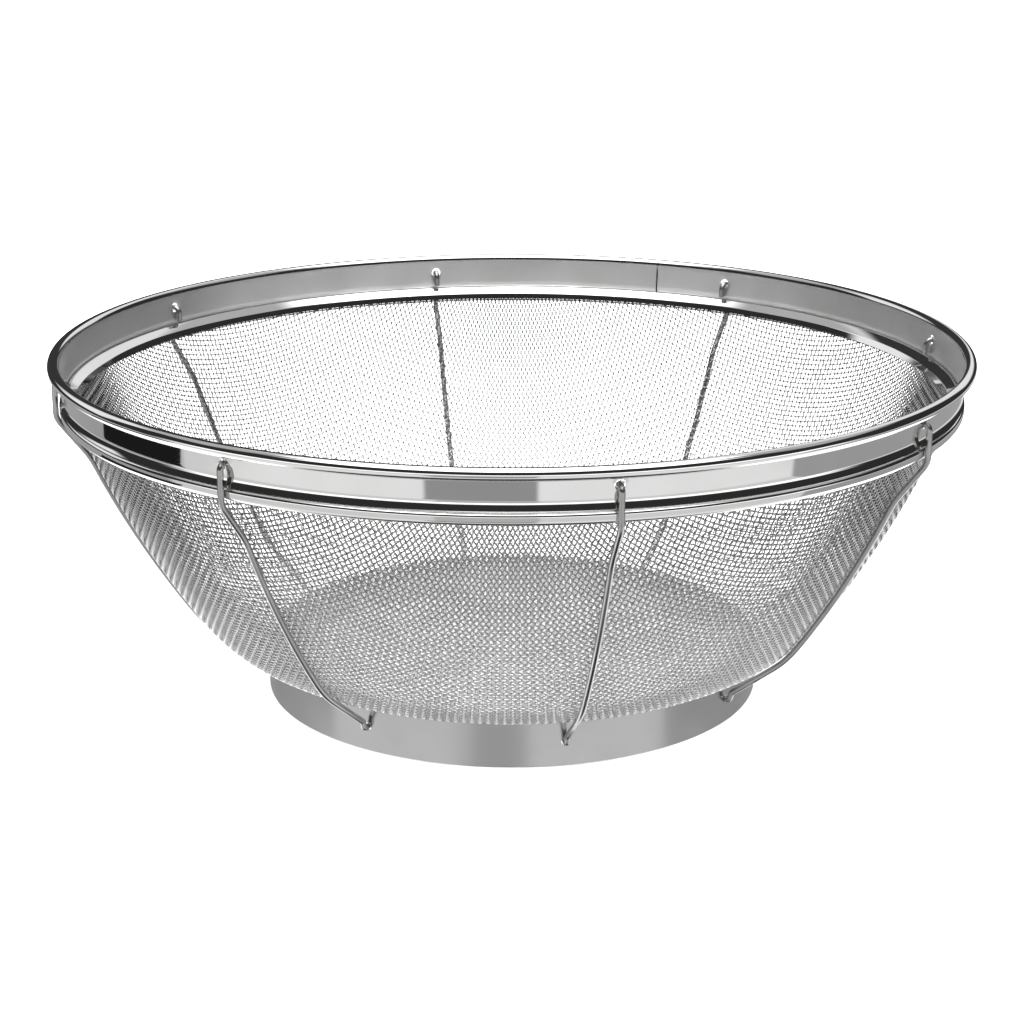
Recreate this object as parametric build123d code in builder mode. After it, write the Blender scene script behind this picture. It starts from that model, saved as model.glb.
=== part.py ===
from build123d import *
from math import acos, cos, degrees, dist, radians, sin
import os

os.makedirs("parts", exist_ok=True)

# A wire mesh strainer bowl: a woven basket held in a rolled rim, carried on a foot ring by hooked wires.
# Millimetres, +Z up. The origin is the centre of the foot ring's bottom edge.

# ---- Rim band: one strip, rolled over outwards at the top and flared at the bottom ----
rim_radius = 140.0  # outermost radius, over the rolled bead
rim_height = 108.0  # top of the bead above the table
band_sheet = 0.5  # sheet thickness of the band and of the clamp ring
bead_radius = 1.85  # outside radius of the rolled bead
bead_turn = 300.0  # degrees that the strip is rolled through
wall_lean = 6.0  # degrees that the band's wall leans in towards the bottom
wall_length = 7.8
lip_radius = 4.4  # the flare at the wall's lower edge
lip_turn = 41.0

# ---- Clamp ring: a folded strip that grips the edge of the mesh below the band ----
clamp_inner_radius = 131.85  # the leg inside the mesh
clamp_inner_low = 92.35
clamp_ledge_low = 94.6
clamp_ledge_radius = 135.35  # where the sloping inside ledge meets the band
clamp_ledge_high = 97.05
clamp_back_radius = 135.15  # behind the ledge the strip turns down again
clamp_back_low = 95.35
clamp_bead_radius = 136.75  # the leg outside the mesh
clamp_bead_high = 94.95
clamp_bottom = 92.15
clamp_end_radius = 133.6  # the strip ends under the mesh
clamp_cuts = [0.4, 0.85, 0.3, 0.5, 0.8]  # each fold is cut off by a short straight, this far from its corner

# ---- Mesh basket: flat floor, round corner and a long, slightly bowed wall ----
cloth_thickness = 0.85  # two crossing wires, 1.68 apart
floor_height = 12.7  # underside of the floor
floor_radius = 67.5
corner_radius = 39.0  # outside radius between the floor and the wall
corner_slope = 54.6  # slope in degrees where the corner becomes the wall
wall_curve_radius = 285.0  # outside radius of the bowed wall
edge_height = 94.3  # cut edge of the mesh, inside the clamp ring

# ---- Foot ring: a plain upright strip under the basket's corner ----
foot_radius = 76.8
foot_sheet = 0.8
foot_height = 13.6
foot_edge_break = 0.15

# ---- Support wires: hooked through the band and the foot ring ----
wire_count = 8
wire_radius = 0.9
wire_gap = 0.15  # wire to mesh
rim_hole_radius = 1.55
foot_hole_radius = 1.3
rim_hook_height = 102.1
rim_hook_inner_radius = 134.2
rim_hook_outer_radius = 138.05
rim_hook_bend = 1.9
inner_end_height = 97.7
knee_height = 90.9  # where the wire turns in below the clamp ring
knee_bend = 6.0
mesh_bend = 30.0
mesh_approach = 6.0  # straight run before the wire lies on the mesh
mesh_contact_slope = 65.0  # slope of the mesh where the wire first lies on it
mesh_release_slope = 38.0  # slope of the mesh where the wire leaves it for the foot
foot_approach = 16.6  # straight run from the mesh to the foot ring
foot_hook_height = 7.5
foot_hook_outer_radius = 78.35
foot_hook_inner_radius = 74.3
foot_hook_bend = 1.2
foot_end_height = 9.7

# ---- Worked out ----
bead_line_radius = bead_radius - band_sheet / 2
bead_centre = (rim_radius - bead_radius, rim_height - bead_radius)
corner_centre = (floor_radius, floor_height + corner_radius)
centre_step = wall_curve_radius - corner_radius
wall_centre = (
    corner_centre[0] - centre_step * sin(radians(corner_slope)),
    corner_centre[1] + centre_step * cos(radians(corner_slope)),
)
corner_line_radius = corner_radius - cloth_thickness / 2
wall_line_radius = wall_curve_radius - cloth_thickness / 2
edge_slope = degrees(acos((wall_centre[1] - edge_height) / wall_line_radius))
clamp_corners = [
    (clamp_inner_radius, clamp_inner_low),
    (clamp_inner_radius, clamp_ledge_low),
    (clamp_ledge_radius, clamp_ledge_high),
    (clamp_back_radius, clamp_back_low),
    (clamp_bead_radius, clamp_bead_high),
    (clamp_bead_radius, clamp_bottom),
    (clamp_end_radius, clamp_bottom),
]
wire_azimuths = [360 / wire_count * number for number in range(wire_count)]


def eased(corners, cuts):
    """The line through these corners, with each corner between the ends cut off by a short straight."""
    points = [corners[0]]
    for before, corner, after, cut in zip(corners, corners[1:], corners[2:], cuts):
        for neighbour in (before, after):
            share = cut / dist(corner, neighbour)
            across = corner[0] + share * (neighbour[0] - corner[0])
            up = corner[1] + share * (neighbour[1] - corner[1])
            points.append((across, up))
    return [*points, corners[-1]]


def bowl_point(centre, radius, slope):
    """A point (radius, height) on one of the bowl's arcs, where the arc has this slope in degrees."""
    return (
        centre[0] + radius * sin(radians(slope)),
        centre[1] - radius * cos(radians(slope)),
    )


def along(start, slope, length):
    """The point (radius, height) this far up a line of this slope in degrees."""
    return (
        start[0] + length * cos(radians(slope)),
        start[1] + length * sin(radians(slope)),
    )


def radial_plane(azimuth):
    """The upright plane through the bowl's axis, with x outwards and y up."""
    turn = radians(azimuth)
    return Plane((0, 0, 0), x_dir=(cos(turn), sin(turn), 0), z_dir=(sin(turn), -cos(turn), 0))


def outward_plane(azimuth, radius, height):
    """A plane facing outwards at this radius and height, for holes."""
    turn = radians(azimuth)
    outward = (cos(turn), sin(turn), 0)
    return Plane((radius * outward[0], radius * outward[1], height), z_dir=outward)


def save(builder, name):
    builder.part.label = name
    export_step(builder.part, f"parts/{name}.step")


# ---- Rim band ----
with BuildPart() as rim_band:
    with BuildSketch(Plane.XZ):
        with BuildLine():
            curl = CenterArc(bead_centre, bead_line_radius, 180 - wall_lean, -bead_turn)
            wall = PolarLine(curl @ 0, wall_length, angle=-90 - wall_lean)
            JernArc(wall @ 1, wall % 1, lip_radius, lip_turn)
        trace(line_width=band_sheet)
    revolve(axis=Axis.Z)
    for azimuth in wire_azimuths:
        with BuildSketch(outward_plane(azimuth, rim_hook_inner_radius, rim_hook_height)):
            Circle(rim_hole_radius)
        extrude(amount=rim_hook_outer_radius - rim_hook_inner_radius, mode=Mode.SUBTRACT)
save(rim_band, "rim_band")

# ---- Clamp ring ----
with BuildPart() as clamp_ring:
    with BuildSketch(Plane.XZ):
        with BuildLine():
            Polyline(eased(clamp_corners, clamp_cuts))
        trace(line_width=band_sheet)
    revolve(axis=Axis.Z)
save(clamp_ring, "clamp_ring")

# ---- Mesh basket, as one closed shell of the cloth's thickness ----
with BuildPart() as mesh_basket:
    with BuildSketch(Plane.XZ):
        with BuildLine():
            floor_line = floor_height + cloth_thickness / 2
            Line((0, floor_line), (floor_radius, floor_line))
            CenterArc(corner_centre, corner_line_radius, -90, corner_slope)
            CenterArc(wall_centre, wall_line_radius, corner_slope - 90, edge_slope - corner_slope)
        trace(line_width=cloth_thickness)
    revolve(axis=Axis.Z)
save(mesh_basket, "mesh_basket")

# ---- Foot ring ----
with BuildPart() as foot_ring:
    with BuildSketch():
        Circle(foot_radius)
        Circle(foot_radius - foot_sheet, mode=Mode.SUBTRACT)
    extrude(amount=foot_height)
    chamfer(foot_ring.edges().filter_by(GeomType.CIRCLE), foot_edge_break)
    for azimuth in wire_azimuths:
        with BuildSketch(outward_plane(azimuth, foot_hook_inner_radius, foot_hook_height)):
            Circle(foot_hole_radius)
        extrude(amount=2 * (foot_radius - foot_hook_inner_radius), mode=Mode.SUBTRACT)
save(foot_ring, "foot_ring")

# ---- Support wires ----
wire_offset = wire_radius + wire_gap
wall_start = bowl_point(wall_centre, wall_curve_radius + wire_offset, mesh_contact_slope)
corner_end = bowl_point(corner_centre, corner_radius + wire_offset, mesh_release_slope)
for number, azimuth in enumerate(wire_azimuths, start=1):
    with BuildPart() as support_wire:
        with BuildLine(radial_plane(azimuth)) as route:
            FilletPolyline(
                (rim_hook_inner_radius, inner_end_height),
                (rim_hook_inner_radius, rim_hook_height),
                (rim_hook_outer_radius, rim_hook_height),
                (rim_hook_outer_radius, knee_height),
                along(wall_start, mesh_contact_slope, mesh_approach),
                wall_start,
                radius=[rim_hook_bend, rim_hook_bend, knee_bend, mesh_bend],
            )
            CenterArc(
                wall_centre,
                wall_curve_radius + wire_offset,
                mesh_contact_slope - 90,
                corner_slope - mesh_contact_slope,
            )
            CenterArc(
                corner_centre,
                corner_radius + wire_offset,
                corner_slope - 90,
                mesh_release_slope - corner_slope,
            )
            FilletPolyline(
                corner_end,
                along(corner_end, mesh_release_slope, -foot_approach),
                (foot_hook_outer_radius, foot_hook_height),
                (foot_hook_inner_radius, foot_hook_height),
                (foot_hook_inner_radius, foot_end_height),
                radius=foot_hook_bend,
            )
        with BuildSketch(Plane(route.line @ 0, z_dir=route.line % 0)):
            Circle(wire_radius)
        sweep()
    save(support_wire, f"support_wire_{number}")
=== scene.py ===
from math import acos, atan2, cos, degrees, hypot, pi, radians, sin, tan

import bpy
import numpy as np
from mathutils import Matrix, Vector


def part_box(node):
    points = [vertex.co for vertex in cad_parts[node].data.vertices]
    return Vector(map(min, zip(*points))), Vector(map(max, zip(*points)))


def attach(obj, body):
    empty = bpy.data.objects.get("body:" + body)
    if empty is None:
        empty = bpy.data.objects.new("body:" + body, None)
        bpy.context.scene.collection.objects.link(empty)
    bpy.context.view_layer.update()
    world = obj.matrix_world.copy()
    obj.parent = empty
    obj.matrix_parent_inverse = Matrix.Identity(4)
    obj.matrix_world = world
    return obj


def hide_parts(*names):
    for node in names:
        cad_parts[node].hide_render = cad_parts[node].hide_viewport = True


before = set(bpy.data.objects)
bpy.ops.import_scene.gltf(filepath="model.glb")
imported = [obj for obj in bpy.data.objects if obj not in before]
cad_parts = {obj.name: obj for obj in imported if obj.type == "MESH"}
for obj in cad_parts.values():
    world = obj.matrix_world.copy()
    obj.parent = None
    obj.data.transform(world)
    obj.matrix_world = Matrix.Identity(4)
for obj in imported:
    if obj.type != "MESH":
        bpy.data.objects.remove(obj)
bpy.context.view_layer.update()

# A woven wire strainer bowl: every CAD node is replaced by a finer piece on the same centre lines.
# Sizes are in millimetres, and a pair of numbers is (radius, height). Meshes are made in metres.

MM = 0.001
sharp_angle = 40.0  # edges that bend by more than this many degrees are sharp
rng = np.random.default_rng(7)


def corners_mm(node):
    """A CAD node's lowest and highest corners in millimetres."""
    low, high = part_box(node)
    return np.array(low) / MM, np.array(high) / MM


_, rim_high = corners_mm("rim_band")
basket_low, _ = corners_mm("mesh_basket")
_, foot_high = corners_mm("foot_ring")
wire_names = sorted(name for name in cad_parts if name.startswith("support_wire_"))
wire_azimuths = [2 * pi * number / len(wire_names) for number in range(len(wire_names))]

# ---- Rim band, as in the CAD model ----
rim_radius = rim_high[1]
rim_height = rim_high[2]
band_sheet = 0.5  # sheet thickness of the band and of the clamp ring
bead_radius = 1.85
bead_turn = 300.0  # degrees that the strip is rolled through
wall_lean = 6.0  # degrees
wall_length = 7.8
lip_radius = 4.4
lip_turn = 41.0  # degrees
band_radius = 135.5  # for the length of steps round the band and the clamp ring
hole_wall_radius = 135.3  # the wall at the height of the holes

# ---- Finer features of the rim band ----
hole_dish = 0.15  # how far a punched hole's edge stands out
hole_dish_reach = 2.0
seam_azimuth = radians(56.0)  # where the strip's two ends meet
seam_depth = 0.4
seam_half_width = 0.22
# half width of the near-black strip painted into the seam's groove as shade
seam_shade_half_width = 0.2

# ---- Clamp ring: the folded strip's centre line, and the radius of each fold ----
clamp_corners = [
    (131.75, 93.0),  # the leg inside the mesh
    (132.5, 94.7),
    (135.35, 97.05),  # the ledge meets the band, and the strip turns down behind it
    (135.15, 95.35),
    (136.75, 94.95),  # the bead outside the mesh
    (136.75, 92.15),
    (133.6, 92.15),  # the strip ends under the mesh
]
clamp_folds = [0.7, 0.4, 0.5, 0.8, 1.1]

# ---- Mesh basket, as in the CAD model ----
cloth_thickness = 0.85
floor_height = basket_low[2]
floor_radius = 67.5
corner_radius = 39.0  # outside radius between the floor and the wall
corner_slope = radians(54.6)  # slope where the corner becomes the wall
wall_curve_radius = 285.0
edge_height = 94.3

# ---- Weave ----
weave_pitch = 1.68
weave_azimuth = radians(33.2)
weave_unevenness = 0.01
thread_radius = 0.21
thread_sides = 6
thread_steps = 3  # from one crossing to the next
threads_per_piece = 20
shade_low = 40.0  # painted shade: the cloth's steel gets darker from this height
shade_high = 80.0  # up to this one

# ---- Foot ring, as in the CAD model ----
foot_radius = foot_high[1]
foot_sheet = 0.8
foot_height = foot_high[2]
foot_edge_break = 0.15

# ---- Support wires, as in the CAD model ----
wire_radius = 0.9
wire_sides = 20
wire_gap = 0.15  # wire to mesh
wire_end_rounding = 0.25
rim_hole_radius = 1.55
foot_hole_radius = 1.3
rim_hook_height = 102.1
rim_hook_inner_radius = 134.2
rim_hook_outer_radius = 138.05
rim_hook_bend = 1.9
inner_end_height = 97.7
knee_height = 90.9  # where the wire turns in below the clamp ring
knee_bend = 6.0
mesh_bend = 30.0
mesh_approach = 6.0  # straight run before the wire lies on the mesh
mesh_contact_slope = radians(65.0)  # slope of the mesh where the wire first lies on it
mesh_release_slope = radians(38.0)  # slope of the mesh where the wire leaves it for the foot
foot_approach = 16.6  # straight run from the mesh to the foot ring
foot_hook_height = 7.5
foot_hook_outer_radius = 78.35
foot_hook_inner_radius = 74.3
foot_hook_bend = 1.2
foot_end_height = 9.7

# ---- Camera: the photograph's viewing angle, low and with a slight telephoto lens ----
camera_azimuth = -101.6  # degrees
camera_distance = 705.7  # from the bowl's axis
camera_height = 273.1
camera_pitch = 17.3  # degrees downwards
camera_lens = 83.1


# ======================================================================================
# Lines in the (radius, height) plane
# ======================================================================================


def arc(centre, radius, start, turn, steps):
    """Points along an arc; angles in degrees."""
    angles = np.radians(np.linspace(start, start + turn, steps + 1))
    return [(centre[0] + radius * cos(a), centre[1] + radius * sin(a)) for a in angles]


def rounded(corners, radii, steps=8):
    """The line through these corners, with each corner between the ends rounded."""
    corners = [np.array(corner, float) for corner in corners]
    points = [corners[0]]
    for before, corner, after, radius in zip(corners, corners[1:], corners[2:], radii):
        back = (before - corner) / np.linalg.norm(before - corner)
        ahead = (after - corner) / np.linalg.norm(after - corner)
        half = acos(np.clip(back @ ahead, -1, 1)) / 2
        middle = (back + ahead) / np.linalg.norm(back + ahead)
        centre = corner + middle * radius / sin(half)
        first = corner + back * radius / tan(half)
        last = corner + ahead * radius / tan(half)
        for share in np.linspace(0, 1, steps + 1):
            chord = first + (last - first) * share - centre
            points.append(centre + chord * radius / np.linalg.norm(chord))
    points.append(corners[-1])
    return [tuple(point) for point in points]


def divided(points, longest):
    """The same line with its long runs divided."""
    fine = [points[0]]
    for start, end in zip(points, points[1:]):
        pieces = max(1, int(np.ceil(hypot(end[0] - start[0], end[1] - start[1]) / longest)))
        for number in range(1, pieces + 1):
            share = number / pieces
            fine.append((start[0] + (end[0] - start[0]) * share, start[1] + (end[1] - start[1]) * share))
    return fine


def both_sides(line, thickness):
    """The closed outline of a strip of this thickness along a line."""
    line = np.array(line, float)
    runs = np.diff(line, axis=0)
    runs /= np.linalg.norm(runs, axis=1)[:, None]
    normals = np.stack([-runs[:, 1], runs[:, 0]], 1)
    at_points = np.vstack([normals[:1], normals[:-1] + normals[1:], normals[-1:]])
    at_points /= np.linalg.norm(at_points, axis=1)[:, None]
    # a corner's point is further out than the strip's half thickness
    stretch = np.ones(len(line))
    stretch[1:-1] = 1 / np.clip((at_points[1:-1] * normals[1:]).sum(1), 0.5, 1)
    offset = at_points * (thickness / 2 * stretch)[:, None]
    return np.vstack([line - offset, (line + offset)[::-1]])


# ======================================================================================
# Meshes
# ======================================================================================


def grid_quads(rows, columns, rows_close, columns_close):
    """Quads between neighbouring points of a grid."""
    row = np.arange(rows if rows_close else rows - 1)
    column = np.arange(columns if columns_close else columns - 1)
    row, column = np.meshgrid(row, column, indexing="ij")
    next_row, next_column = (row + 1) % rows, (column + 1) % columns
    corners = [
        row * columns + column,
        next_row * columns + column,
        next_row * columns + next_column,
        row * columns + next_column,
    ]
    return np.stack([corner.ravel() for corner in corners], 1)


def spun(outline, azimuths):
    """A ring: a closed outline carried round the axis through these azimuths."""
    outline = np.array(outline)
    radius, height = outline[:, 0], outline[:, 1]
    across = np.outer(np.cos(azimuths), radius)
    ahead = np.outer(np.sin(azimuths), radius)
    up = np.tile(height, (len(azimuths), 1))
    return np.stack([across, ahead, up], -1), grid_quads(len(azimuths), len(outline), True, True)


def tube(centre, normal, radius, sides):
    """A closed round tube along a line of points; normal is any direction across the line."""
    ahead = np.gradient(centre, axis=0)
    ahead /= np.linalg.norm(ahead, axis=1)[:, None]
    across = np.cross(ahead, normal)
    across /= np.linalg.norm(across, axis=1)[:, None]
    normal = np.cross(across, ahead)
    angles = np.arange(sides) * 2 * pi / sides
    ring = np.reshape(radius, (-1, 1, 1)) * (
        np.cos(angles)[None, :, None] * normal[:, None] - np.sin(angles)[None, :, None] * across[:, None]
    )
    points = (centre[:, None] + ring).reshape(-1, 3)
    side = np.arange(sides // 2 - 1)
    first_end = np.stack([side, side + 1, sides - 2 - side, sides - 1 - side], 1)
    last_end = first_end[:, ::-1] + (len(centre) - 1) * sides
    return points, np.vstack([grid_quads(len(centre), sides, False, True), first_end, last_end])


def joined(tubes):
    """The points and quads of several tubes as one mesh's."""
    points, quads, count = [], [], 0
    for tube_points, tube_quads in tubes:
        points.append(tube_points)
        quads.append(tube_quads + count)
        count += len(tube_points)
    return np.vstack(points), np.vstack(quads)


def quad_mesh(name, points, quads, sharp=False):
    """A smooth mesh object from points in millimetres and quads, with or without sharp edges."""
    mesh = bpy.data.meshes.new(name)
    mesh.vertices.add(len(points))
    mesh.vertices.foreach_set("co", (np.asarray(points, np.float32) * MM).ravel())
    mesh.loops.add(quads.size)
    mesh.loops.foreach_set("vertex_index", quads.astype(np.int32).ravel())
    mesh.polygons.add(len(quads))
    mesh.polygons.foreach_set("loop_start", np.arange(0, quads.size, 4, dtype=np.int32))
    mesh.polygons.foreach_set("use_smooth", np.ones(len(quads), bool))
    mesh.update(calc_edges=True)
    mesh.validate()
    if sharp:
        mesh.set_sharp_from_angle(angle=radians(sharp_angle))
    piece = bpy.data.objects.new(name, mesh)
    bpy.context.scene.collection.objects.link(piece)
    return piece


def finish_piece(piece, material, nodes):
    """Gives a new piece its material and its place in the frame."""
    piece.data.materials.append(material)
    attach(piece, "root")
    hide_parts(*nodes)


def rods(radius, height, rod_radius):
    """One object with a short round rod through a ring at every support wire."""
    sides = 32
    reach = 2.5  # from the middle of a rod to its ends
    angles = np.arange(sides) * 2 * pi / sides
    circle = np.stack([np.zeros(sides), rod_radius * np.cos(angles), rod_radius * np.sin(angles)], 1)
    points, faces = [], []
    for number, azimuth in enumerate(wire_azimuths):
        turn = np.array([[cos(azimuth), -sin(azimuth), 0], [sin(azimuth), cos(azimuth), 0], [0, 0, 1]])
        for end in (-reach, reach):
            points.append((circle + [radius + end, 0, height]) @ turn.T)
        inner = 2 * sides * number  # the first point of the rod's end nearest the axis
        outer = inner + sides
        faces.append([inner + side for side in reversed(range(sides))])
        faces.append([outer + side for side in range(sides)])
        for side in range(sides):
            following = (side + 1) % sides
            faces.append([inner + side, inner + following, outer + following, outer + side])
    mesh = bpy.data.meshes.new("cutter")
    mesh.from_pydata((np.vstack(points) * MM).tolist(), [], faces)
    cutter = bpy.data.objects.new("cutter", mesh)
    bpy.context.scene.collection.objects.link(cutter)
    return cutter


def drill(piece, radius, height, hole_radius):
    """Cuts a round hole through a ring at every support wire."""
    cutter = rods(radius, height, hole_radius)
    modifier = piece.modifiers.new("holes", "BOOLEAN")
    modifier.operation = "DIFFERENCE"
    modifier.solver = "EXACT"
    modifier.object = cutter
    bpy.context.view_layer.update()
    evaluated = piece.evaluated_get(bpy.context.evaluated_depsgraph_get())
    cut = bpy.data.meshes.new_from_object(evaluated)
    piece.modifiers.clear()
    whole = piece.data
    piece.data = cut
    bpy.data.meshes.remove(whole)
    bpy.data.objects.remove(cutter)
    cut.polygons.foreach_set("use_smooth", np.ones(len(cut.polygons), bool))
    cut.set_sharp_from_angle(angle=radians(sharp_angle))


# ======================================================================================
# Shader nodes
# ======================================================================================


def feed(tree, socket, value):
    """Sets a socket to a number, or links it to another node's output."""
    if isinstance(value, (int, float)):
        socket.default_value = value
    else:
        tree.links.new(value, socket)


def calculate(tree, operation, *values):
    """The result of a Math node."""
    node = tree.nodes.new("ShaderNodeMath")
    node.operation = operation
    for socket, value in zip(node.inputs, values):
        feed(tree, socket, value)
    return node.outputs["Value"]


def map_range(tree, value, low, high, at_low=0.0, at_high=1.0, kind="LINEAR"):
    """A number that goes from at_low to at_high while value goes from low to high."""
    node = tree.nodes.new("ShaderNodeMapRange")
    node.interpolation_type = kind
    node.inputs["From Min"].default_value = low
    node.inputs["From Max"].default_value = high
    node.inputs["To Min"].default_value = at_low
    node.inputs["To Max"].default_value = at_high
    tree.links.new(value, node.inputs["Value"])
    return node.outputs["Result"]


def noise(tree, vector, scale, detail):
    """Noise between 0 and 1."""
    node = tree.nodes.new("ShaderNodeTexNoise")
    node.inputs["Scale"].default_value = scale
    node.inputs["Detail"].default_value = detail
    tree.links.new(vector, node.inputs["Vector"])
    return node.outputs["Fac"]


def mixed(tree, factor, first, second):
    """The first number where factor is 0, and the second where it is 1."""
    node = tree.nodes.new("ShaderNodeMix")
    node.data_type = "FLOAT"
    for name, value in (("Factor", factor), ("A", first), ("B", second)):
        feed(tree, node.inputs[name], value)
    return node.outputs["Result"]


def bump(tree, height, distance):
    """A Bump node for this height, with its distance in millimetres."""
    node = tree.nodes.new("ShaderNodeBump")
    node.inputs["Distance"].default_value = distance * MM
    tree.links.new(height, node.inputs["Height"])
    return node


# ======================================================================================
# Materials
# ======================================================================================


def steel(name, colour, roughness, wave_height, brush_height, brush_scale, smudge, darker_up=0.0):
    """Stainless steel: brushing along the ring, slow waves from rolling, and cloudy changes in gloss.

    smudge is how much darker the clouds are, and darker_up is how much darker the steel is high on
    the bowl than at the floor, as painted shade.
    """
    material = bpy.data.materials.new(name)
    material.use_nodes = True
    tree = material.node_tree
    shader = tree.nodes["Principled BSDF"]
    shader.inputs["Metallic"].default_value = 1.0
    place = tree.nodes.new("ShaderNodeTexCoord").outputs["Object"]
    split = tree.nodes.new("ShaderNodeSeparateXYZ")
    tree.links.new(place, split.inputs["Vector"])

    clouds = noise(tree, place, scale=60.0, detail=4.0)
    cloudy = map_range(tree, clouds, 0.35, 0.7, 1.0, 1.0 - smudge)
    # painted shade: the steel darkens up the bowl
    climb = map_range(tree, split.outputs["Z"], shade_low * MM, shade_high * MM, 1.0, 1.0 - darker_up)
    tint = tree.nodes.new("ShaderNodeMix")
    tint.data_type = "RGBA"
    tint.blend_type = "MULTIPLY"
    tint.inputs["Factor"].default_value = 1.0
    tint.inputs["A"].default_value = (*colour, 1.0)
    tree.links.new(calculate(tree, "MULTIPLY", cloudy, climb), tint.inputs["B"])
    tree.links.new(tint.outputs["Result"], shader.inputs["Base Color"])
    gloss = map_range(tree, clouds, 0.3, 0.75, roughness * 0.8, roughness * 1.35)
    tree.links.new(gloss, shader.inputs["Roughness"])

    # brushing: noise stretched along the ring, in (azimuth, height, distance from the foot's centre)
    azimuth = calculate(tree, "ARCTAN2", split.outputs["Y"], split.outputs["X"])
    distance = tree.nodes.new("ShaderNodeVectorMath")
    distance.operation = "LENGTH"
    tree.links.new(place, distance.inputs["Vector"])
    ring = tree.nodes.new("ShaderNodeCombineXYZ")
    tree.links.new(calculate(tree, "MULTIPLY", azimuth, 0.01), ring.inputs["X"])
    tree.links.new(split.outputs["Z"], ring.inputs["Y"])
    tree.links.new(distance.outputs["Value"], ring.inputs["Z"])
    fine = bump(tree, noise(tree, ring.outputs["Vector"], scale=brush_scale, detail=3.0), brush_height)
    slow = bump(tree, noise(tree, place, scale=28.0, detail=1.0), wave_height)
    tree.links.new(slow.outputs["Normal"], fine.inputs["Normal"])
    tree.links.new(fine.outputs["Normal"], shader.inputs["Normal"])
    return material


band_steel = steel(
    "band_steel",
    (0.80, 0.80, 0.795),
    roughness=0.04,
    wave_height=0.012,
    brush_height=0.0015,
    brush_scale=2500.0,
    smudge=0.05,
)
foot_steel = steel(
    "foot_steel",
    (0.62, 0.62, 0.62),
    roughness=0.2,
    wave_height=0.03,
    brush_height=0.004,
    brush_scale=2500.0,
    smudge=0.10,
)
wire_steel = steel(
    "wire_steel",
    (0.44, 0.44, 0.435),
    roughness=0.3,
    wave_height=0.0,
    brush_height=0.008,
    brush_scale=1500.0,
    smudge=0.12,
)
inner_steel = steel(
    "inner_steel",
    (0.95, 0.95, 0.945),
    roughness=0.38,
    wave_height=0.01,
    brush_height=0.006,
    brush_scale=2500.0,
    smudge=0.06,
)
# near-black steel for the faces in the seam's groove: painted shade
seam_painted_shade = steel(
    "seam_painted_shade",
    (0.08, 0.08, 0.08),
    roughness=0.5,
    wave_height=0.0,
    brush_height=0.0,
    brush_scale=900.0,
    smudge=0.2,
)
# the cloth's threads get darker up the wall as painted shade
thread_steel = steel(
    "thread_steel",
    (0.66, 0.66, 0.66),
    roughness=0.12,
    wave_height=0.0,
    brush_height=0.0,
    brush_scale=900.0,
    smudge=0.12,
    darker_up=0.42,
)


# ======================================================================================
# Rim band, clamp ring and foot ring
# ======================================================================================

bead_line_radius = bead_radius - band_sheet / 2
bead_centre = (rim_radius - bead_radius, rim_height - bead_radius)


def ring_azimuths(radius, coarse, fine, reach):
    """Azimuths round a ring, in steps in millimetres: fine within reach of a support wire, else coarse."""
    sector = 2 * pi / len(wire_azimuths)
    near = reach / radius
    close = np.linspace(-near, near, round(2 * reach / fine), endpoint=False)
    far_count = round((sector - 2 * near) * radius / coarse)
    far = np.linspace(near, sector - near, far_count, endpoint=False)
    steps = np.concatenate([close, far])
    return np.concatenate([azimuth + steps for azimuth in wire_azimuths])


def band_line():
    """The rim band's centre line: rolled bead, leaning wall and flared lip."""
    curl = arc(bead_centre, bead_line_radius, 180 - wall_lean - bead_turn, bead_turn, steps=30)
    lean = radians(wall_lean)
    wall_end = (curl[-1][0] - wall_length * sin(lean), curl[-1][1] - wall_length * cos(lean))
    lip_centre = (wall_end[0] + lip_radius * cos(lean), wall_end[1] - lip_radius * sin(lean))
    lip = arc(lip_centre, lip_radius, 180 - wall_lean, lip_turn, steps=8)
    wall = divided([curl[-1], wall_end], longest=0.45)
    return curl + wall[1:] + lip[1:]


def press_band(points):
    """Pushes the edges of the holes out a little, and a groove into the inner face at the seam."""
    radius = np.hypot(points[..., 0], points[..., 1])
    azimuth = np.arctan2(points[..., 1], points[..., 0])

    def sideways(middle):
        """Distance along the ring from this azimuth."""
        return ((azimuth - middle + pi) % (2 * pi) - pi) * radius

    pushed = np.zeros_like(radius)
    under_bead = radius > rim_radius - 2.6
    for hole in wire_azimuths:
        away = np.hypot(sideways(hole), points[..., 2] - rim_hook_height)
        pushed += hole_dish * np.exp(-((away / hole_dish_reach) ** 4)) * ~under_bead
    on_inner_face = radius < bead_centre[0] - bead_line_radius
    pushed += seam_depth * np.exp(-((sideways(seam_azimuth) / seam_half_width) ** 4)) * on_inner_face
    points[..., :2] *= (1 + pushed / radius)[..., None]


def make_rim_band():
    """The rolled strip, with its holes and seam; its inner face is brushed, the seam's groove is painted
    near-black as shade, and the rest is polished.
    """
    azimuths = ring_azimuths(band_radius, coarse=1.4, fine=0.3, reach=3.6)
    near_seam = seam_azimuth + np.linspace(-0.5, 0.5, 21) / band_radius
    points, quads = spun(both_sides(band_line(), band_sheet), np.union1d(azimuths, near_seam))
    press_band(points)
    piece = quad_mesh("rim_band_fine", points.reshape(-1, 3), quads, sharp=True)
    drill(piece, hole_wall_radius, rim_hook_height, rim_hole_radius)
    finish_piece(piece, band_steel, ["rim_band"])

    piece.data.materials.append(inner_steel)
    piece.data.materials.append(seam_painted_shade)
    brushed_top = bead_centre[1] + 0.3
    brushed_radius = rim_radius - 3.5
    for face in piece.data.polygons:
        x, y, z = face.center / MM
        radius = hypot(x, y)
        towards_axis = face.normal.x * x + face.normal.y * y < 0
        if towards_axis and z < brushed_top and radius < brushed_radius:
            # faces in the seam's groove take the near-black steel, as painted shade
            in_seam = abs(atan2(y, x) - seam_azimuth) * radius < seam_shade_half_width
            face.material_index = 2 if in_seam else 1


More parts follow.
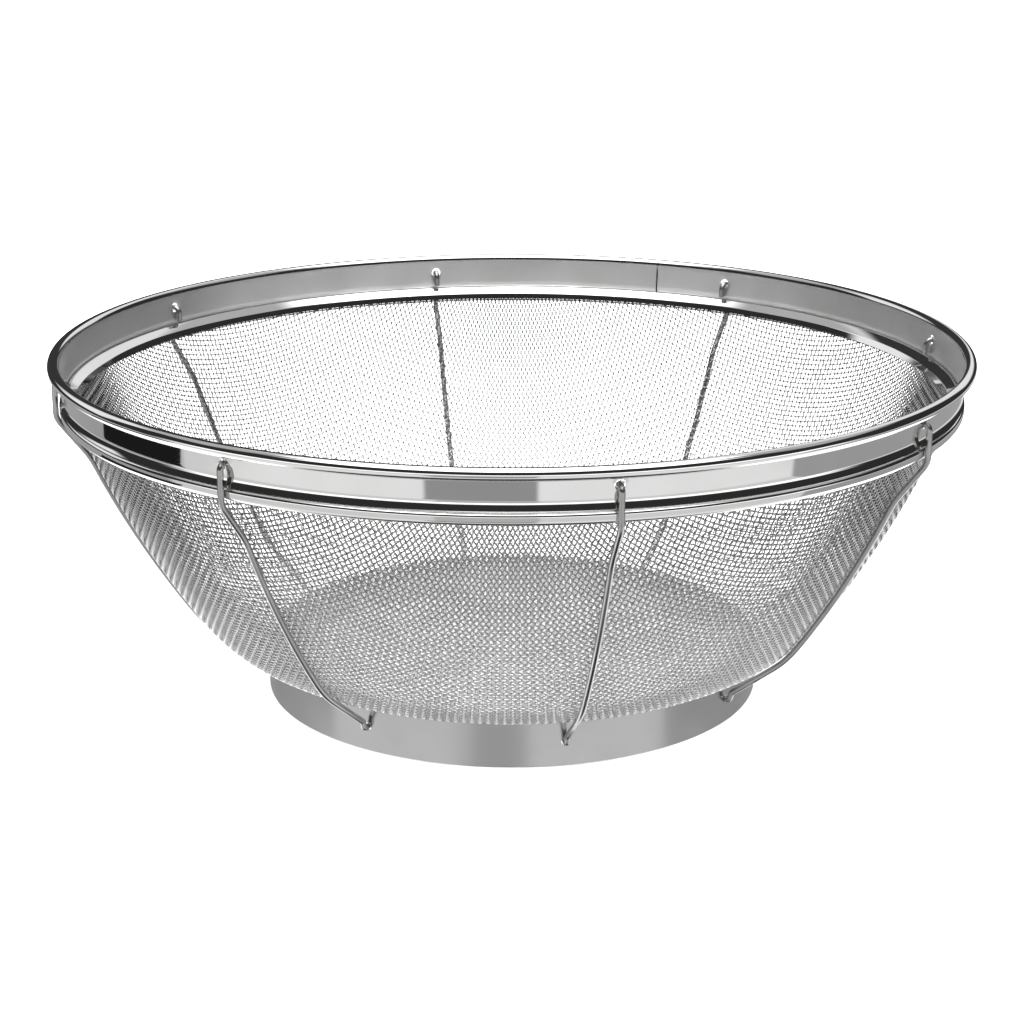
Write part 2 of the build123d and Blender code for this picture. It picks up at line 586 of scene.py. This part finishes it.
def make_clamp_ring():
    """The folded strip: inner leg, ledge, and a rounded outer bead."""
    line = rounded(clamp_corners, clamp_folds)
    azimuths = ring_azimuths(band_radius, coarse=0.9, fine=0.9, reach=4.0)
    points, quads = spun(both_sides(line, band_sheet), azimuths)
    piece = quad_mesh("clamp_ring_fine", points.reshape(-1, 3), quads, sharp=True)
    finish_piece(piece, band_steel, ["clamp_ring"])


def make_foot_ring():
    """The plain strip under the basket, with small holes for the hooks."""
    inner, edge = foot_radius - foot_sheet, foot_edge_break
    line = [
        (foot_radius - edge, 0.0),
        (foot_radius, edge),
        (foot_radius, foot_height - edge),
        (foot_radius - edge, foot_height),
        (inner + edge, foot_height),
        (inner, foot_height - edge),
        (inner, edge),
        (inner + edge, 0.0),
    ]
    outline = divided(line + line[:1], longest=0.8)[:-1]
    points, quads = spun(outline, ring_azimuths(foot_radius, coarse=0.8, fine=0.4, reach=3.0))
    piece = quad_mesh("foot_ring_fine", points.reshape(-1, 3), quads, sharp=True)
    drill(piece, foot_radius - foot_sheet / 2, foot_hook_height, foot_hole_radius)
    finish_piece(piece, foot_steel, ["foot_ring"])


# ======================================================================================
# Mesh basket
# ======================================================================================

corner_centre = (floor_radius, floor_height + corner_radius)
centre_step = wall_curve_radius - corner_radius
wall_centre = (
    corner_centre[0] - centre_step * sin(corner_slope),
    corner_centre[1] + centre_step * cos(corner_slope),
)


def bowl_line(offset):
    """Length from the centre, radius, height and slope along the bowl, this far inside its outer face.

    The last value is the length at the cloth's edge. The line goes a little beyond it.
    """
    step, beyond = 0.25, 3.0
    corner_line, wall_line = corner_radius - offset, wall_curve_radius - offset
    edge_slope = acos((wall_centre[1] - edge_height) / wall_line)
    wall_start = floor_radius + corner_line * corner_slope
    edge = wall_start + wall_line * (edge_slope - corner_slope)
    length = np.arange(0, edge + beyond, step)
    on_floor = length < floor_radius
    on_wall = length >= wall_start
    slope = np.where(
        on_wall,
        corner_slope + (length - wall_start) / wall_line,
        (length - floor_radius) / corner_line,
    )
    slope = np.where(on_floor, 0, slope)
    centre_radius = np.where(on_wall, wall_centre[0], corner_centre[0])
    centre_height = np.where(on_wall, wall_centre[1], corner_centre[1])
    line = np.where(on_wall, wall_line, corner_line)
    radius = np.where(on_floor, length, centre_radius + line * np.sin(slope))
    height = np.where(on_floor, floor_height + offset, centre_height - line * np.cos(slope))
    return length, radius, height, slope, edge


cloth_length, cloth_radius, cloth_height, cloth_slope, cloth_edge = bowl_line(cloth_thickness / 2)


def on_bowl(flat):
    """Points on the bowl for points of the flat cloth, kept at their distance from the centre."""
    length = np.hypot(flat[..., 0], flat[..., 1])
    shrink = np.interp(length, cloth_length, cloth_radius) / np.maximum(length, 1e-9)
    height = np.interp(length, cloth_length, cloth_height)
    return np.stack([flat[..., 0] * shrink, flat[..., 1] * shrink, height], -1)


def pitch_gaps(flat, ends):
    """How much further than one pitch each point is from each of its two neighbours."""
    spot = on_bowl(flat)
    return np.stack([np.linalg.norm(spot - end, axis=-1) - weave_pitch for end in ends], -1)


@np.errstate(divide="ignore", invalid="ignore")
def weave_quarter():
    """Where the threads of cloth pressed into the bowl cross, for one quarter.

    Threads can't stretch, so each crossing is one pitch from its two neighbours nearer the centre,
    and the squares of the cloth become diamonds between the weave's two directions. A crossing that
    would be beyond the cloth's edge is nan.
    """
    count = int(cloth_edge / weave_pitch) + 2
    net = np.full((count, count, 2), np.nan)
    net[0, :, 0], net[0, :, 1] = 0, np.arange(count) * weave_pitch
    net[:, 0, 0], net[:, 0, 1] = np.arange(count) * weave_pitch, 0
    step = 1e-3
    for diagonal in range(2, 2 * count - 1):
        i = np.arange(max(1, diagonal - count + 1), min(diagonal - 1, count - 1) + 1)
        j = diagonal - i
        guess = net[i - 1, j] + net[i, j - 1] - net[i - 1, j - 1]
        kept = np.isfinite(guess[:, 0])
        i, j, guess = i[kept], j[kept], guess[kept]
        if not len(i):
            break
        ends = on_bowl(net[i - 1, j]), on_bowl(net[i, j - 1])
        # Newton's method
        for _ in range(5):
            gap = pitch_gaps(guess, ends)
            by_x = (pitch_gaps(guess + [step, 0], ends) - gap) / step
            by_y = (pitch_gaps(guess + [0, step], ends) - gap) / step
            det = by_x[:, 0] * by_y[:, 1] - by_y[:, 0] * by_x[:, 1]
            guess[:, 0] -= (gap[:, 0] * by_y[:, 1] - gap[:, 1] * by_y[:, 0]) / det
            guess[:, 1] -= (by_x[:, 0] * gap[:, 1] - by_x[:, 1] * gap[:, 0]) / det
        guess[np.hypot(guess[:, 0], guess[:, 1]) > cloth_edge + 2 * weave_pitch] = np.nan
        net[i, j] = guess
    return net


def weave_net():
    """The quarter's crossings mirrored into all four quarters."""
    quarter = weave_quarter()
    count = len(quarter)
    index = np.arange(-count + 1, count)
    net = quarter[np.abs(index)][:, np.abs(index)].copy()
    net[..., 0] *= np.sign(index)[:, None]
    net[..., 1] *= np.sign(index)[None, :]
    return net


def thread_tube(spots, normals, lift):
    """One thread's tube through its crossings; lift is the side of the cloth it is on at each."""
    share = np.arange(thread_steps) / thread_steps
    wave = np.cos(pi * share)[None, :, None]
    start, end = spots[:-1, None], spots[1:, None]
    middle = start + (end - start) * share[None, :, None]
    normal = normals[:-1, None] + (normals[1:, None] - normals[:-1, None]) * share[None, :, None]
    height = thread_radius * lift[:-1, None, None] * wave
    last = spots[-1:] + normals[-1:] * lift[-1] * thread_radius
    centre = np.vstack([(middle + normal * height).reshape(-1, 3), last])
    normal = np.vstack([normal.reshape(-1, 3), normals[-1:]])
    return tube(centre, normal, thread_radius, thread_sides)


def make_cloth():
    """Every thread of the basket as a thin tube that goes over and under the threads it crosses."""
    net = weave_net()
    net += rng.normal(0, weave_unevenness, net.shape)
    inside = np.hypot(net[..., 0], net[..., 1]) < cloth_edge
    turn = np.array([[cos(weave_azimuth), -sin(weave_azimuth)], [sin(weave_azimuth), cos(weave_azimuth)]])
    flat = net @ turn.T
    spots = on_bowl(flat)
    slope = np.interp(np.hypot(flat[..., 0], flat[..., 1]), cloth_length, cloth_slope)
    azimuth = np.arctan2(flat[..., 1], flat[..., 0])
    outward = np.stack([np.sin(slope) * np.cos(azimuth), np.sin(slope) * np.sin(azimuth), -np.cos(slope)], -1)
    row, column = np.indices(inside.shape)
    over = np.where((row + column) % 2, 1.0, -1.0)
    directions = {
        "warp": (inside, spots, outward, over),
        "weft": (inside.T, spots.swapaxes(0, 1), outward.swapaxes(0, 1), -over.T),
    }
    for direction, (kept, spot, normal, lift) in directions.items():
        threads = []
        for number in range(len(kept)):
            crossings = number, np.flatnonzero(kept[number])
            if len(crossings[1]) >= 2:
                threads.append(thread_tube(spot[crossings], normal[crossings], lift[crossings]))
        for start in range(0, len(threads), threads_per_piece):
            points, quads = joined(threads[start : start + threads_per_piece])
            name = f"{direction}_threads_{start // threads_per_piece + 1}"
            piece = quad_mesh(name, points, quads)
            finish_piece(piece, thread_steel, ["mesh_basket"])


# ======================================================================================
# Support wires
# ======================================================================================


def wire_line():
    """A support wire's centre line, from its end inside the band to its end inside the foot ring."""
    offset = wire_radius + wire_gap

    def on_arc(centre, radius, slope):
        return centre[0] + (radius + offset) * sin(slope), centre[1] - (radius + offset) * cos(slope)

    def along(spot, slope, length):
        return spot[0] + length * cos(slope), spot[1] + length * sin(slope)

    wall_start = on_arc(wall_centre, wall_curve_radius, mesh_contact_slope)
    corner_end = on_arc(corner_centre, corner_radius, mesh_release_slope)
    upper = rounded(
        [
            (rim_hook_inner_radius, inner_end_height),
            (rim_hook_inner_radius, rim_hook_height),
            (rim_hook_outer_radius, rim_hook_height),
            (rim_hook_outer_radius, knee_height),
            along(wall_start, mesh_contact_slope, mesh_approach),
            wall_start,
        ],
        [rim_hook_bend, rim_hook_bend, knee_bend, mesh_bend],
        steps=14,
    )
    wall = arc(
        wall_centre,
        wall_curve_radius + offset,
        degrees(mesh_contact_slope) - 90,
        degrees(corner_slope - mesh_contact_slope),
        steps=30,
    )
    corner = arc(
        corner_centre,
        corner_radius + offset,
        degrees(corner_slope) - 90,
        degrees(mesh_release_slope - corner_slope),
        steps=12,
    )
    lower = rounded(
        [
            corner_end,
            along(corner_end, mesh_release_slope, -foot_approach),
            (foot_hook_outer_radius, foot_hook_height),
            (foot_hook_inner_radius, foot_hook_height),
            (foot_hook_inner_radius, foot_end_height),
        ],
        [foot_hook_bend] * 3,
        steps=12,
    )
    return np.array(divided(upper + wall[1:] + corner[1:] + lower[1:], longest=2.0))


def near_end(end, following):
    """The point on the line where the rounding of its end begins."""
    run = following - end
    return end + run * wire_end_rounding / np.linalg.norm(run)


def make_support_wires():
    """Round wires, hooked through the rim band and the foot ring, with blunt, slightly rounded ends."""
    line = wire_line()
    after_first, before_last = near_end(line[0], line[1]), near_end(line[-1], line[-2])
    line = np.vstack([line[0], after_first, line[1:-1], before_last, line[-1]])
    radii = np.full(len(line), wire_radius)
    radii[[0, -1]] = wire_radius - wire_end_rounding
    for name, azimuth in zip(wire_names, wire_azimuths):
        outward = np.array([cos(azimuth), sin(azimuth), 0])
        centre = line[:, :1] * outward + line[:, 1:] * np.array([0, 0, 1])
        across = np.array([-sin(azimuth), cos(azimuth), 0])
        points, quads = tube(centre, np.tile(across, (len(centre), 1)), radii, wire_sides)
        piece = quad_mesh(name + "_fine", points, quads)
        finish_piece(piece, wire_steel, [name])


# ======================================================================================
# Studio
# ======================================================================================


def plain_material(name, colour):
    """A material of one colour, and its shader."""
    material = bpy.data.materials.new(name)
    material.use_nodes = True
    shader = material.node_tree.nodes["Principled BSDF"]
    shader.inputs["Base Color"].default_value = (*colour, 1)
    return material, shader


def make_floor():
    """A pale floor; reflections show the table of the studio's light instead."""
    side = 6000.0
    points = np.array([[-side, -side, 0], [side, -side, 0], [side, side, 0], [-side, side, 0]])
    floor = quad_mesh("studio_floor", points, np.array([[0, 1, 2, 3]]))
    material, shader = plain_material("pale_floor", (0.9, 0.9, 0.9))
    shader.inputs["Roughness"].default_value = 0.9
    floor.data.materials.append(material)
    floor.visible_glossy = False


def make_card():
    """A black card lying on the table at the left, which only the reflections show."""
    inner_radius, outer_radius, height = 300.0, 410.0, 0.5
    azimuths = np.radians(camera_azimuth + np.linspace(-104, -73, 12))
    points = [(r * cos(a), r * sin(a), height) for a in azimuths for r in (inner_radius, outer_radius)]
    card = quad_mesh("black_card", points, grid_quads(len(azimuths), 2, False, False))
    material, shader = plain_material("black_card", (0.004, 0.004, 0.004))
    shader.inputs["Specular IOR Level"].default_value = 0.0
    card.data.materials.append(material)
    card.visible_camera = False
    card.visible_diffuse = False
    card.visible_shadow = False


def make_studio():
    """Soft studio light as a world: bright above, a dark room behind the camera, a white table below."""
    world = bpy.data.worlds.new("studio")
    world.use_nodes = True
    bpy.context.scene.world = world
    tree = world.node_tree
    split = tree.nodes.new("ShaderNodeSeparateXYZ")
    tree.links.new(tree.nodes.new("ShaderNodeTexCoord").outputs["Generated"], split.inputs["Vector"])
    height = calculate(tree, "ARCSINE", split.outputs["Z"])
    elevation = calculate(tree, "MULTIPLY", height, 180 / pi)
    direction = calculate(tree, "ARCTAN2", split.outputs["Y"], split.outputs["X"])
    heading = calculate(tree, "MULTIPLY", direction, 180 / pi)

    def between(value, low, high, soft):
        """1 between low and high, falling to 0 over a soft edge."""
        above = map_range(tree, value, low - soft / 2, low + soft / 2, kind="SMOOTHSTEP")
        below = map_range(tree, value, high + soft / 2, high - soft / 2, kind="SMOOTHSTEP")
        return calculate(tree, "MULTIPLY", above, below)

    def heading_from(azimuth):
        """Heading measured from this azimuth, -180 to 180."""
        turned = calculate(tree, "ADD", heading, 540 - azimuth)
        return calculate(tree, "SUBTRACT", calculate(tree, "FLOORED_MODULO", turned, 360), 180)

    # Each patch is laid over the ones before it. In degrees: azimuth of its middle, width, lowest
    # and highest elevation; then its brightness, and the softness of its edges sideways and upwards.
    front = camera_azimuth
    behind = camera_azimuth + 180
    all_round = 1000
    patches = [
        (0, all_round, -100, -9, 0.92, 6, 4),  # white table
        (front, 170, -12, 0, 1.55, 20, 3),  # its far edge, on the camera's side
        (0, all_round, -100, -62, 0.05, 6, 10),  # the bowl's own shade
        (behind, 170, -60, -28, 2.4, 40, 6),  # the table behind is lit more
        (0, all_round, -25, -12, 0.74, 6, 2),  # table further off
        (behind, 190, 37, 62, 0.5, 20, 8),  # grey walls at both sides
        (behind, 76, 9, 62, 0.9, 6, 6),  # white sweep behind
        (behind + 13.5, 43, -14, 48, 0.04, 5, 5),  # dark gap in the sweep
        (front - 127, 28, 8, 38, 1.0, 6, 5),  # window at the left
        (front, 140, 46, 66, 2.6, 24, 5),  # softbox over the camera
        (0, all_round, 62, 100, 4.0, 6, 8),  # overhead softbox
        (front - 7.8, 28.5, -46, -25, 0.33, 1.5, 2),  # camera and stand
        (front - 6, 25, -25, -12, 0.52, 1.5, 2),
        (front - 131, 80, -24, -11, 0.38, 3, 2),  # grey cards at both sides
        (front + 122, 94, -27, -13, 0.38, 1.5, 2),
    ]
    light = 0.03  # dark room
    for azimuth, width, low, high, level, soft, soft_up in patches:
        sideways = between(heading_from(azimuth), -width / 2, width / 2, soft)
        patch = calculate(tree, "MULTIPLY", sideways, between(elevation, low, high, soft_up))
        light = mixed(tree, patch, light, level)

    # rough surfaces such as the floor are lit evenly, and the camera sees plain white
    ray = tree.nodes.new("ShaderNodeLightPath")
    light = mixed(tree, ray.outputs["Is Diffuse Ray"], light, 3.2)
    light = mixed(tree, ray.outputs["Is Camera Ray"], light, 3.0)
    tree.links.new(light, tree.nodes["Background"].inputs["Color"])


def make_camera():
    """The photograph's viewing angle."""
    data = bpy.data.cameras.new("camera")
    data.sensor_width = 36.0
    data.lens = camera_lens
    data.clip_start = 0.01
    camera = bpy.data.objects.new("camera", data)
    azimuth = radians(camera_azimuth)
    place = (camera_distance * cos(azimuth), camera_distance * sin(azimuth), camera_height)
    camera.location = [length * MM for length in place]
    camera.rotation_euler = (radians(90 - camera_pitch), 0, azimuth + pi / 2)
    bpy.context.scene.collection.objects.link(camera)
    bpy.context.scene.camera = camera


bpy.context.scene.view_settings.view_transform = "Standard"
make_camera()
make_studio()
make_floor()
make_card()
make_rim_band()
make_clamp_ring()
make_foot_ring()
make_cloth()
make_support_wires()
